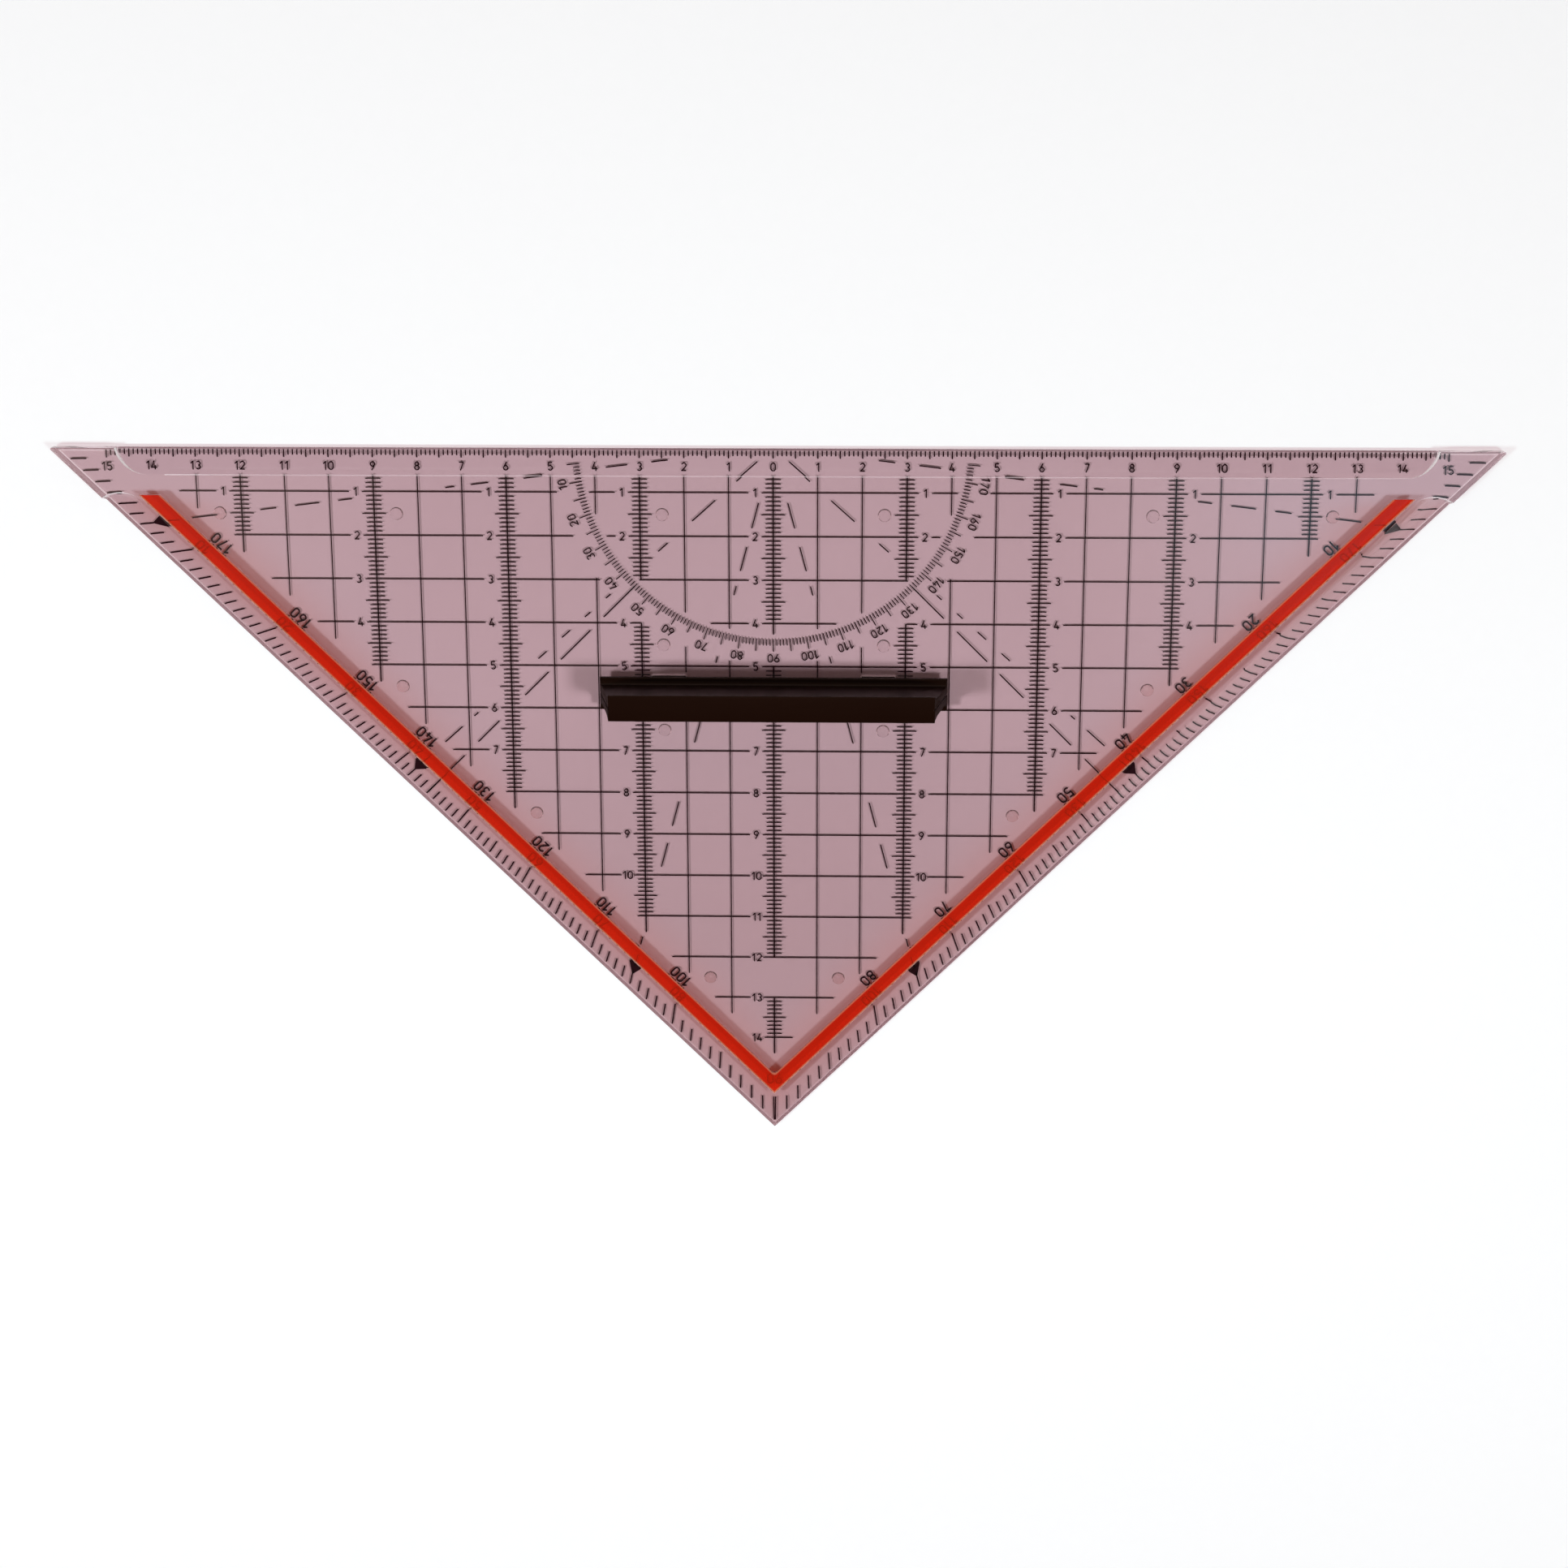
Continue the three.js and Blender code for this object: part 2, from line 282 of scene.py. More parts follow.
milled_finish, start = new_finish("milled_acrylic")
place = start.add("TexCoord", output="Object")
cutter_marks = place.noise(1800.0, 2.0)
milled_body = start.add(
    "BsdfPrincipled",
    None,
    {
        "Base Color": cutter_marks.blend((0.96, 0.92, 0.93, 1), (1.0, 0.99, 0.99, 1)),
        "Roughness": 0.25 + cutter_marks * 0.2,
        "IOR": 1.49,
        "Normal": start.add("Bump", None, {"Height": cutter_marks, "Distance": 0.00001, "Strength": 0.5}),
    },
)
polished_body = start.add(
    "BsdfPrincipled",
    None,
    {
        "Base Color": cutter_marks.blend((0.84, 0.74, 0.76, 1), (0.88, 0.78, 0.8, 1)),
        "Roughness": 0.05,
        "IOR": 1.49,
        "Transmission Weight": 1.0,
    },
)
by_ruler = place.along("Y").between((ruling_y - 12) * MM, (ruling_y - 10) * MM)
shallow = place.along("Z").between((top - 1.0) * MM, (top - 0.4) * MM) * by_ruler
milled_wall = start.add("MixShader", None, {0: shallow, 1: polished_body, 2: milled_body})
let_through(start, milled_wall, (0.9, 0.84, 0.85))
sheet_mesh.materials.append(milled_finish)

eased_finish, start = new_finish("polished_edge")
place = start.add("TexCoord", output="Object")
hand_work = place.noise(90.0, 3.0)
off_middle, forwards = place.along("X").size(), place.along("Y")
# Painted glint: towards the sharp corners and beside the slots these faces are painted near-white, standing
# in for the highlights that the eased edges and slot walls catch there. A little noise varies the tone.
glint_near_corner = off_middle.between(120 * MM, 142 * MM)
glint_near_slot = (1 - off_middle.between(30 * MM, 35 * MM)) * forwards.between(5 * MM, 15 * MM)
glint_near_slot = glint_near_slot * (1 - forwards.between(40 * MM, 50 * MM))
painted_glint_and_tone = glint_near_corner * 0.9 + glint_near_slot * 0.9 + hand_work * 0.1
eased_body = start.add(
    "BsdfPrincipled",
    None,
    {
        "Base Color": painted_glint_and_tone.blend((0.72, 0.58, 0.61, 1), (1.0, 0.95, 0.96, 1)),
        "Roughness": 0.2,
        "IOR": 1.49,
        "Transmission Weight": 0.55,
    },
)
let_through(start, eased_body, (0.92, 0.86, 0.87))
sheet_mesh.materials.append(eased_finish)

filed_finish, start = new_finish("filed_chamfer")
place = start.add("TexCoord", output="Object")
file_marks = place.noise(400.0, 2.0)
filed_body = start.add(
    "BsdfPrincipled",
    None,
    {
        "Base Color": file_marks.blend((0.46, 0.31, 0.34, 1), (0.56, 0.4, 0.43, 1)),
        "Roughness": 0.4,
        "IOR": 1.49,
        "Transmission Weight": 0.5,
    },
)
let_through(start, filed_body, (0.9, 0.84, 0.85))
sheet_mesh.materials.append(filed_finish)
sheet = bpy.data.objects.new("sheet", sheet_mesh)
bpy.context.scene.collection.objects.link(sheet)
easing = sheet.modifiers.new("eased_edges", "BEVEL")
easing.width = eased_edge * MM
easing.segments = 2
easing.limit_method = "WEIGHT"
easing.use_clamp_overlap = False
easing.material = eased
easing.harden_normals = True
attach(sheet, "plate")
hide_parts("plate")

# The sixteen studs: small clear domes moulded on the underside, which keep the print off the paper. Each
# is as wide and as high as the frame's own, with a flat foot and its root just inside the sheet, so that
# no two clear faces lie on each other.
stud_tint = one_pass_tint**0.08
stud_foot = 0.3
stud_rings = 10
stud_sides = 32
stud_root = 0.02
stud_finish = clear_acrylic("stud_acrylic", stud_tint)


def add_mesh(name, corners, faces, finish, crease=30):
    """A smooth mesh from corners in millimetres and faces by corner, sharp where it bends by more than
    crease degrees."""
    mesh = bpy.data.meshes.new(name)
    mesh.from_pydata(np.asarray(corners) * MM, [], [list(map(int, face)) for face in faces])
    mesh.polygons.foreach_set("use_smooth", np.ones(len(mesh.polygons), dtype=bool))
    mesh.set_sharp_from_angle(angle=math.radians(crease))
    mesh.materials.append(finish)
    mesh.update()
    piece = bpy.data.objects.new(name, mesh)
    bpy.context.scene.collection.objects.link(piece)
    return piece


def grid_faces(rows, columns, around=False):
    """Quads between neighbours on a grid of corners, row by row. With around, the last column is joined
    to the first."""
    row = np.arange(rows - 1)[:, None] * columns
    column = np.arange(columns if around else columns - 1)[None, :]
    after = (column + 1) % columns
    quads = (row + column, row + after, row + columns + after, row + columns + column)
    return np.stack(np.broadcast_arrays(*quads), axis=-1).reshape(-1, 4)


def stud_surface(centre, radius, height):
    """A dome hanging from z = height. A ring's radius is the foot's plus the dome's radius times the sine
    of its angle from the bottom, and its z the dome's radius less as much times the cosine."""
    spread = radius - stud_foot
    dome = (spread**2 + height**2) / (2 * height)
    lean = np.linspace(0, math.asin(spread / dome), stud_rings)
    turn = np.arange(stud_sides) * 2 * math.pi / stud_sides
    lean = np.append(lean, lean[-1])
    rings = stud_foot + dome * np.sin(lean)[:, None]
    x = centre[0] + rings * np.cos(turn)
    y = centre[1] + rings * np.sin(turn)
    z = dome - dome * np.cos(lean)
    z[-1] += stud_root
    z = np.broadcast_to(z[:, None], x.shape)
    return np.stack([x, y, z], axis=-1).reshape(-1, 3)


stud_nodes = sorted(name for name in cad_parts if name.startswith("stud_"))
for node_name in stud_nodes:
    low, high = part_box(node_name)
    middle = (low + high) / 2 / MM
    dome_corners = stud_surface(middle, (high.x - low.x) / 2 / MM, underside)
    last = stud_rings * stud_sides
    lids = [range(stud_sides - 1, -1, -1), range(last, last + stud_sides)]
    dome = add_mesh(
        "dome_" + node_name[-2:],
        dome_corners,
        [*grid_faces(stud_rings + 1, stud_sides, around=True), *lids],
        stud_finish,
        crease=35,
    )
    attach(dome, "plate")
    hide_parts(node_name)

# The stripe: one V of red translucent plastic, let into the groove in the top of the plate along both short
# sides. Its shoulders are rounded, and an orange band painted along both edges is a painted glow standing
# in for the light that passes where they are thin.
stripe_outer = 6.43
stripe_inner = 9.87
stripe_width = stripe_inner - stripe_outer
stripe_end = 10.7
stripe_bend = 0.9
sharpest_bend = 1e-6
stripe_depth = 1.17
stripe_shoulder = 0.16
painted_glow_width = 0.34


def v_boundary(offset, bend, straight_steps=60, bend_steps=6):
    """Half of a V that lies offset inside the left short side: straight down from the stripe's end, then
    round a bend of the given radius to the middle."""
    apex = np.array([0.0, offset * math.sqrt(2) - sharp_corner_depth])
    start = np.array([-(sharp_corner_depth - stripe_end - offset * math.sqrt(2)), -stripe_end])
    reach = max(bend, sharpest_bend)
    tangent = apex + reach * np.array([-1, 1]) / math.sqrt(2)
    straight = start + (tangent - start) * np.linspace(0, 1, straight_steps)[:, None]
    centre = apex + np.array([0, reach * math.sqrt(2)])
    angles = np.radians(np.linspace(225, 270, bend_steps + 1))[1:]
    round_part = centre + reach * np.stack([np.cos(angles), np.sin(angles)], axis=1)
    return np.concatenate([straight, round_part])


def stripe_surface():
    """Rows run along the V and columns round its section. A corner is the outer edge plus its share of
    the way to the inner edge, and within a shoulder its height follows a quarter circle."""
    inner_half = v_boundary(stripe_inner, stripe_bend)
    outer_half = v_boundary(stripe_outer, 0)
    inner = np.concatenate([inner_half, inner_half[-2::-1] * [-1, 1]])
    outer = np.concatenate([outer_half, outer_half[-2::-1] * [-1, 1]])
    turn = np.linspace(0, math.pi / 2, 4)
    shoulder = stripe_shoulder * (1 - np.cos(turn)) / stripe_width
    falling = stripe_shoulder * (1 - np.sin(turn))
    across = np.concatenate([shoulder, [1 / 4, 1 / 2, 3 / 4], 1 - shoulder[::-1], [1, 0]])
    drop = np.concatenate([falling, np.zeros(3), falling[::-1], [stripe_depth] * 2])
    height = top - drop
    flat = outer[:, None] + (inner - outer)[:, None] * across[None, :, None]
    z = np.broadcast_to(height, flat.shape[:2])
    corners = np.dstack([flat[..., 0], flat[..., 1] + ruling_y, z])
    return corners, across


stripe_corners, stripe_across = stripe_surface()
rows, columns = stripe_corners.shape[:2]
stripe_faces = [*grid_faces(rows, columns, around=True)[:, ::-1]]
stripe_faces += [range(columns), range(rows * columns - 1, (rows - 1) * columns - 1, -1)]

stripe_finish, start = new_finish("red_inlay")
across_it = start.add("UVMap", {"uv_map": "across"}).along("X")
place = start.add("TexCoord", output="Object")
from_edge = start.maths("MINIMUM", across_it, 1 - across_it)
# Painted glow: an orange band along both edges of the stripe.
painted_glow_share = painted_glow_width / stripe_width
painted_edge_glow = 1 - from_edge.between(painted_glow_share * 0.7, painted_glow_share * 1.15)
cloud = place.noise(60.0, 3.0)
red = cloud.blend((0.93, 0.037, 0.009, 1), (0.97, 0.045, 0.012, 1))
grain = place.noise(900.0, 2.0)
stripe_body = start.add(
    "BsdfPrincipled",
    None,
    {
        "Base Color": painted_edge_glow.blend(red, (0.97, 0.46, 0.27, 1)),
        "Roughness": 0.03 + cloud * 0.03,
        "IOR": 1.25,
        "Specular IOR Level": 0.12,
        "Transmission Weight": 0.75,
        "Normal": start.add("Bump", None, {"Height": grain, "Distance": 0.000006, "Strength": 0.5}),
    },
)
let_through(start, stripe_body, (0.6, 0.21, 0.1))

stripe = add_mesh("stripe_inlay", stripe_corners.reshape(-1, 3), stripe_faces, stripe_finish)
corner_uv = np.stack([np.tile(stripe_across, rows), np.repeat(np.linspace(0, 1, rows), columns)], axis=1)
uv_layer = stripe.data.uv_layers.new(name="across")
loop_corners = np.empty(len(stripe.data.loops), dtype=np.int32)
stripe.data.loops.foreach_get("vertex_index", loop_corners)
uv_layer.data.foreach_set("uv", corner_uv[loop_corners].astype(np.float32).ravel())
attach(stripe, "plate")
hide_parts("stripe")

# The ruler: dark ink on the underside along the ruling edge, a mark at every millimetre to 150 either
# way. Ink is a film, drawn as closed flat strokes bonded to the sheet. Places in the print are counted
# from the ruler's zero, X to the right and Y towards the ruling edge, so Y is below 0 all over the plate.
ink_top = underside + 0.01
ink_thickness = 0.03
ruler_reach = 150
ruler_line = 0.33
tick_top = 0.69
long_tick = 2.5
short_tick = 1.95

ink_finish, start = new_finish("printed_ink")
place = start.add("TexCoord", output="Object")
density = place.noise(700.0, 3.0)
ink_colour = density.blend((0.012, 0.002, 0.005, 1), (0.028, 0.006, 0.011, 1))
ink_body = start.add(
    "BsdfPrincipled",
    None,
    {"Base Color": ink_colour, "Roughness": 0.5 + density * 0.2, "Specular IOR Level": 0.06},
)
start.add("OutputMaterial", None, {"Surface": ink_body})


def slabs(left, right, ring=False):
    """Thin closed slabs of ink between a left and a right line, (slabs, points, 2) each: at every point
    four corners, two by two, at the ink's two heights. A ring joins its last point to its first."""
    low, high = ink_top - ink_thickness, ink_top
    heights = np.array([low, low, high, high])
    flat = np.stack([left, right, right, left], axis=2)
    z = np.broadcast_to(heights, flat.shape[:3])
    corners = np.concatenate([flat, z[..., None]], axis=3)
    corners[..., 1] += ruling_y
    count, points = left.shape[:2]
    one = grid_faces(points, 4, around=True)[:, ::-1]
    last = 4 * points - 4
    if ring:
        close = np.array([[last + i, i, (i + 1) % 4, last + (i + 1) % 4] for i in range(4)])
    else:
        close = np.array([[0, 1, 2, 3], [last + 3, last + 2, last + 1, last]])
    faces = np.concatenate([one, close])[None] + (np.arange(count) * points * 4)[:, None, None]
    return corners.reshape(-1, 3), faces.reshape(-1, 4)


def strokes(paths, width):
    """Ink strokes along paths, (strokes, points, 2). The side step at a point is half the width times the
    sum of the two segments' unit normals over one plus their dot product. A path that ends where it starts
    is a ring."""
    paths = np.asarray(paths, dtype=float)
    steps = np.diff(paths, axis=1)
    steps /= np.linalg.norm(steps, axis=2, keepdims=True)
    normals = np.stack([-steps[..., 1], steps[..., 0]], axis=2)
    ring = np.allclose(paths[:, 0], paths[:, -1])
    before = np.concatenate([normals[:, -1:] if ring else normals[:, :1], normals], axis=1)
    after = np.concatenate([normals, normals[:, :1] if ring else normals[:, -1:]], axis=1)
    side = (before + after) / (1 + np.sum(before * after, axis=2, keepdims=True))
    side = side * np.reshape(width, (-1, 1, 1)) / 2
    left, right = paths + side, paths - side
    return slabs(left[:, :-1], right[:, :-1], ring=True) if ring else slabs(left, right)


def bars(starts, ends, width):
    """Straight ink strokes from starts to ends, (strokes, 2) each."""
    return strokes(np.stack(np.broadcast_arrays(starts, ends), axis=1), width)


def print_ink(name, *groups):
    """One printed piece from groups of slabs."""
    corners = np.concatenate([group[0] for group in groups])
    counts = np.cumsum([0] + [len(group[0]) for group in groups])
    faces = np.concatenate([group[1] + count for group, count in zip(groups, counts)])
    piece = add_mesh(name, corners, faces, ink_finish)
    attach(piece, "plate")


ruler_x = np.arange(-ruler_reach, ruler_reach + 1.0)
ruler_foot = np.where(ruler_x % 5 == 0, -long_tick, -short_tick)
ruler_ticks = bars(
    np.stack([ruler_x, np.full_like(ruler_x, -tick_top)], axis=1),
    np.stack([ruler_x, ruler_foot], axis=1),
    ruler_line,
)
print_ink("ruler_marks", ruler_ticks)

# The grid: centimetre lines both ways over the whole triangle, with gaps for the protractor and for
# the numbers, printed in one pass with the ruler. Every third upright line is a little bolder.
centimetre = 10
grid_line = 0.27
bold_line = 0.35
shortest_line = 0.2
grid_top = 6.4
grid_reach = 144
short_reach = 142
short_rows = (2, 5, 8, 11)
lowest_row = 14
lowest_stretch = (-2.4, 4.3)
line_gaps = {
    0: [(42.5, 49.8), (120, 130)],
    1: [(41.2, 48.6)],
    2: [(37.5, 45.4), (51.4, 59.9)],
    3: [(30, 40)],
    4: [(15, 29.5)],
}
row_gaps = {
    1: [(41.4, 48.6)],
    2: [(37.6, 45.1), (32.7, 35.5)],
    3: [(30.4, 39.2)],
    4: [(14.3, 29.9)],
}
label_reach = 1.45
label_step = 4.1
ladder_last_row = {3: 10, 6: 7, 9: 4, 12: 1}


def without(stretch, gaps):
    """What the gaps leave of a stretch, without crumbs too short to print."""
    left = [stretch]
    for low, high in gaps:
        parts = [part for a, b in left for part in ((a, min(b, low)), (max(a, high), b))]
        left = [(a, b) for a, b in parts if b - a > shortest_line]
    return left


def row_ladders(row):
    """Where the numbers of a row stand: left of the middle ladder, and outside the others that reach it,
    apart from the two places that the protractor takes."""
    beside = [ladder for ladder, last in ladder_last_row.items() if row <= last and (ladder, row) != (3, 3)]
    right = [centimetre * ladder + label_step for ladder in beside]
    return [-label_step] + [side * x for x in right for side in (-1, 1)]


line_starts, line_ends, line_widths = [], [], []
for column in range(-13, 14):
    depth = grid_reach - centimetre * abs(column)
    for high, low in without((grid_top, depth), line_gaps.get(abs(column), [])):
        line_starts.append((centimetre * column, -high))
        line_ends.append((centimetre * column, -low))
        line_widths.append(bold_line if column % 3 == 0 else grid_line)
for row in range(1, lowest_row + 1):
    reach = (short_reach if row in short_rows else grid_reach) - centimetre * row
    stretch = lowest_stretch if row == lowest_row else (-reach, reach)
    labels = [(x - label_reach, x + label_reach) for x in row_ladders(row)]
    both = [gap for low, high in row_gaps.get(row, []) for gap in ((low, high), (-high, -low))]
    for left, right in without(stretch, labels + both):
        line_starts.append((left, -centimetre * row))
        line_ends.append((right, -centimetre * row))
        line_widths.append(grid_line)
print_ink("grid_lines", bars(np.array(line_starts, float), np.array(line_ends, float), line_widths))

# The ladders: nine upright millimetre scales, one on every third grid line, each mark centred on its
# line. They start below the ruler's numbers and stop for the protractor and the whole centimetres.
ladder_line = 0.25
long_rung = 2.72
short_rung = 1.75
ladder_stretches = {
    0: [(7, 39), (50, 120), (130, 140)],
    3: [(7, 30), (40, 110)],
    6: [(7, 80)],
    9: [(7, 50)],
    12: [(7, 20)],
}
ladders = []
for ladder, stretches in ladder_stretches.items():
    depths = np.concatenate([np.arange(first, last + 0.5) for first, last in stretches])
    depths = depths[depths % centimetre != 0]
    beside_slot = (ladder == 3) & (depths == 55)
    half = np.where((depths % 5 == 0) & ~beside_slot, long_rung, short_rung)
    for x in sorted({float(centimetre * ladder), float(-centimetre * ladder)}):
        ladders.append(np.stack([np.full_like(depths, x), depths, half], axis=1))
rungs = np.concatenate(ladders)
ladder_marks = bars(
    np.stack([rungs[:, 0] - rungs[:, 2], -rungs[:, 1]], axis=1),
    np.stack([rungs[:, 0] + rungs[:, 2], -rungs[:, 1]], axis=1),
    ladder_line,
)
print_ink("ladder_marks", ladder_marks)

# The small protractor: a half circle of degree marks round the ruler's zero, and dashed lines at 7, 42,
# 45 and 75 degrees on both sides, each dash given by how far from the zero it starts and ends.
protractor_inner = 43.6
protractor_short = 45.1
protractor_long = 46.5
protractor_line = 0.25
dash_line = 0.3
dashes = {
    7: [
        (23.8, 27.5), (32.9, 37.8), (52.2, 56.5), (64.5, 68.5), (72.2, 74.3),
        (95.6, 98.8), (103.1, 108.7), (113.0, 116.7), (126.6, 132.4), (135.3, 138.1),
    ],
    42: [
        (4.8, 11.1), (17.5, 24.6), (32.1, 35.0), (49.7, 51.2), (56.0, 57.7),
        (62.3, 64.9), (69.7, 72.3), (91.3, 92.6), (96.4, 101.9), (106.5, 109.6),
    ],
    45: [(44.5, 54.6), (58.9, 68.7), (72.8, 80.6), (89.2, 96.3), (100.9, 113.6)],
    75: [
        (12.7, 18.7), (23.1, 28.8), (32.4, 34.6), (49.3, 50.9), (64.2, 70.4),
        (85.0, 91.1), (95.4, 101.4), (119.2, 121.2), (123.8, 126.4),
    ],
}


def rays(degrees):
    """Steps of length one from the zero, at angles from its left: less the cosine in X, and less the
    sine in Y."""
    turn = np.radians(degrees)
    return np.stack([-np.cos(turn), -np.sin(turn)], axis=-1)


def spokes(degrees, inner, outer, width):
    """Strokes on rays at angles in degrees, from an inner to an outer radius."""
    degrees, inner, outer = np.broadcast_arrays(degrees, inner, outer)
    return bars(rays(degrees) * inner[:, None], rays(degrees) * outer[:, None], width)


degrees = np.arange(5.0, 176.0)
mark_end = np.where(degrees % 5 == 0, protractor_long, protractor_short)
print_ink("protractor_marks", spokes(degrees, protractor_inner, mark_end, protractor_line))
dash_table = np.array([(angle, low, high) for angle, parts in dashes.items() for low, high in parts], float)
dash_table = np.concatenate([dash_table, dash_table * [-1, 1, 1] + [180, 0, 0]])
print_ink("angle_lines", spokes(dash_table[:, 0], dash_table[:, 1], dash_table[:, 2], dash_line))

# The large protractor: degree marks along both short sides, all on rays from the zero, with solid
# arrowheads at 7, 42 and 75 degrees on the red stripe's outer edge.
side_mark_outer = 1.1
side_mark_tens = 5.5
side_mark_fives = 4.5
side_mark_ones = 3.7
side_line = 0.34
arrow_degrees = np.array([7.0, 42.0, 75.0, 105.0, 138.0, 173.0])
arrow_base_offset = 5.8
arrow_tip_offset = 3.65
arrow_half_base = 1.85


def side_radius(degrees, offset):
    """How far along a ray the line lies that runs offset inside the short side: the corner's depth less
    the offset times the root of two, over the sum of the ray's steps in X and Y."""
    reach = np.sum(np.abs(rays(degrees)), axis=-1)
    return (sharp_corner_depth - offset * math.sqrt(2)) / reach


degrees = np.arange(1.0, 180.0)
inner_offset = np.where(degrees % 5 == 0, side_mark_fives, side_mark_ones)
inner_offset = np.where(degrees % 10 == 0, side_mark_tens, inner_offset)
side_marks = spokes(
    degrees,
    side_radius(degrees, inner_offset),
    side_radius(degrees, side_mark_outer),
    side_line,
)
print_ink("side_marks", side_marks)

ray = rays(arrow_degrees)
base = ray * side_radius(arrow_degrees, arrow_base_offset)[:, None]
tip = ray * side_radius(arrow_degrees, arrow_tip_offset)[:, None]
facing = np.sign(ray[:, 0])
along_side = np.stack([np.ones_like(facing), facing], axis=1) / math.sqrt(2)
half_tip = side_line / 2
arrow_left = np.stack([base - along_side * arrow_half_base, tip - along_side * half_tip], axis=1)
arrow_right = np.stack([base + along_side * arrow_half_base, tip + along_side * half_tip], axis=1)
print_ink("arrowheads", slabs(arrow_right, arrow_left))

# The numbers: plain upright numerals beside the ruler, the rows and both protractors, drawn as strokes
# a seventh of their height thick. Their drawing is in units of that height, with 0 at the foot.
numeral_stroke = 0.145
bowl = 0.2375
narrow_half = 0.29
wide_half = 0.38
ruler_number_height = 2.05
ruler_number_depth = 4.42
row_number_height = 2.0
protractor_number_height = 2.0
protractor_number_radius = 48.05
side_number_height = 2.65
side_number_offsets = (7.25, 10.95)
right_angle_depth = 150.5


def arc(centre, radii, first, last, points=9):
    """Points round an ellipse: its centre plus its radii times the cosine and sine of even angles in
    degrees."""
    angles = np.radians(np.linspace(first, last, points))
    return np.stack([centre[0] + radii[0] * np.cos(angles), centre[1] + radii[1] * np.sin(angles)], axis=1)


stadium = np.concatenate([arc((0, 0.69), (bowl, bowl), 0, 180), arc((0, 0.31), (bowl, bowl), 180, 360)])
round_of_six = arc((0, 0.31), (bowl, bowl), 0, 360, 17)
stem_of_six = np.array([(-0.205, 0.42), (0.10, 1.0)])
numeral_strokes = {
    "0": [np.concatenate([stadium, stadium[:1]])],
    "1": [np.array([(0.10, 1.0), (0.10, 0.0)]), np.array([(-0.17, 0.70), (0.08, 0.94)])],
    "2": [
        np.concatenate([arc((0, 0.69), (bowl, bowl), 165, -35, 10), [(-0.215, 0.075)]]),
        np.array([(-0.30, 0.0725), (0.25, 0.0725)]),
    ],
    "3": [
        arc((0, 0.715), (0.2125, 0.2125), 150, -90, 11),
        arc((0, 0.29), (bowl, 0.2175), 90, -150, 11),
    ],
    "4": [
        np.array([(0.02, 1.0), (-0.27, 0.24)]),
        np.array([(-0.33, 0.24), (0.31, 0.24)]),
        np.array([(0.13, 0.50), (0.13, 0.0)]),
    ],
    "5": [
        np.array([(0.23, 0.9275), (-0.185, 0.9275), (-0.205, 0.48)]),
        arc((0, 0.32), (bowl, 0.2475), 138, -150, 12),
    ],
    "6": [round_of_six, stem_of_six],
    "7": [np.array([(-0.25, 0.9275), (0.28, 0.9275)]), np.array([(0.225, 0.93), (-0.10, 0.0)])],
    "8": [arc((0, 0.72), (0.20, 0.2075), 0, 360, 15), arc((0, 0.30), (bowl, 0.2275), 0, 360, 17)],
    "9": [round_of_six * -1 + [0, 1], stem_of_six * -1 + [0, 1]],
}


def numbers(labels):
    """Ink for labels, each a number, its middle, its reading direction and its height. A numeral's point
    goes to the middle plus the height times its steps along that direction and the one turned left."""
    placed = {digit: [] for digit in numeral_strokes}
    for number, (x, y), (right_x, right_y), height in labels:
        text = str(number)
        halves = [narrow_half if digit == "1" else wide_half for digit in text]
        at = -sum(halves)
        for digit, half in zip(text, halves):
            at += half
            placed[digit].append((x, y, right_x, right_y, height, at))
            at += half
    groups = []
    for digit, places in placed.items():
        if not places:
            continue
        table = np.array(places, float)
        middle, right, height, at = table[:, None, :2], table[:, None, 2:4], table[:, 4], table[:, 5]
        upward = np.stack([-right[..., 1], right[..., 0]], axis=2)
        for drawing in numeral_strokes[digit]:
            sideways = (drawing[None, :, 0] + at[:, None])[..., None]
            up = np.broadcast_to(drawing[None, :, 1] - 0.5, sideways.shape[:2])[..., None]
            paths = middle + height[:, None, None] * (sideways * right + up * upward)
            groups.append(strokes(paths, numeral_stroke * height))
    return groups


level = (1, 0)
ruler_labels = []
for column in range(-15, 16):
    centre = (centimetre * column, -ruler_number_depth)
    ruler_labels.append((abs(column), centre, level, ruler_number_height))
print_ink("ruler_numbers", *numbers(ruler_labels))

row_labels = []
for row in range(1, lowest_row + 1):
    for x in row_ladders(row):
        row_labels.append((row, (x, -centimetre * row), level, row_number_height))
print_ink("row_numbers", *numbers(row_labels))

protractor_labels = []
for angle in range(10, 171, 10):
    x, y = rays(angle)
    centre = (protractor_number_radius * x, protractor_number_radius * y)
    protractor_labels.append((angle, centre, (y, -x), protractor_number_height))
print_ink("protractor_numbers", *numbers(protractor_labels))

side_labels = [(90, (0, -right_angle_depth), (-1, 0), side_number_height)]
for angle in [*range(10, 90, 10), *range(100, 171, 10)]:
    reading = (-diagonal, diagonal) if angle < 90 else (-diagonal, -diagonal)
    for number, offset in zip((angle, 180 - angle), side_number_offsets):
        centre = side_radius(angle, offset) * rays(angle)
        side_labels.append((number, centre, reading, side_number_height))
print_ink("side_numbers", *numbers(side_labels))

